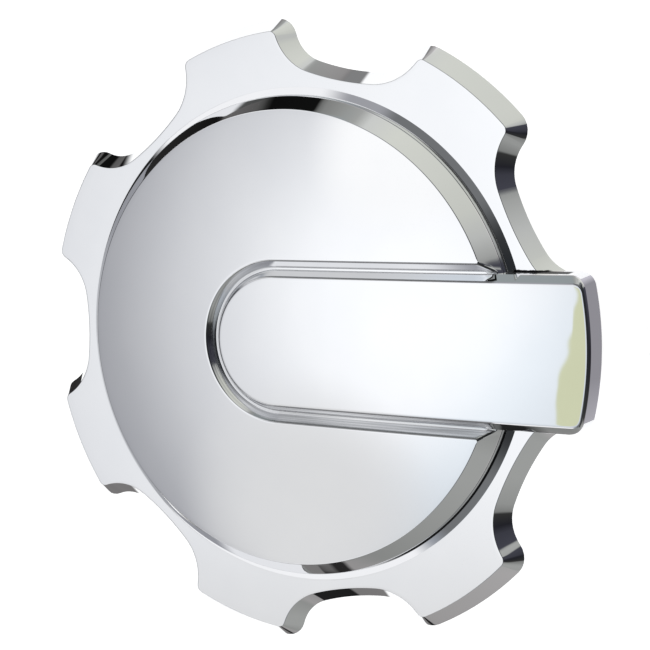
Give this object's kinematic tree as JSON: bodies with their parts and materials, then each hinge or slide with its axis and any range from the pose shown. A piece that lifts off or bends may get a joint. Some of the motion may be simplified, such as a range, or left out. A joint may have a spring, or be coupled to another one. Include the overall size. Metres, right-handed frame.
{
  "type": "wheel center cap",
  "caption": "Chrome wheel center cap: a scalloped flange round a raised crowned drum, with a grooved arm from its middle to the rim and a split snap collar behind.",
  "frame": {"origin": "on the wheel's axis, in the plane where the cap's back rim seats on the wheel", "axes": "+Z along the wheel's axis, out of the cap's face; +X along the arm, towards its outer end"},
  "size_m": [0.2038, 0.2092, 0.0366],
  "materials": {
    "plating": "bright polished chrome plating on moulded plastic"
  },
  "bodies": {
    "root": {"center_cap": "plating"}
  },
  "joints": []
}
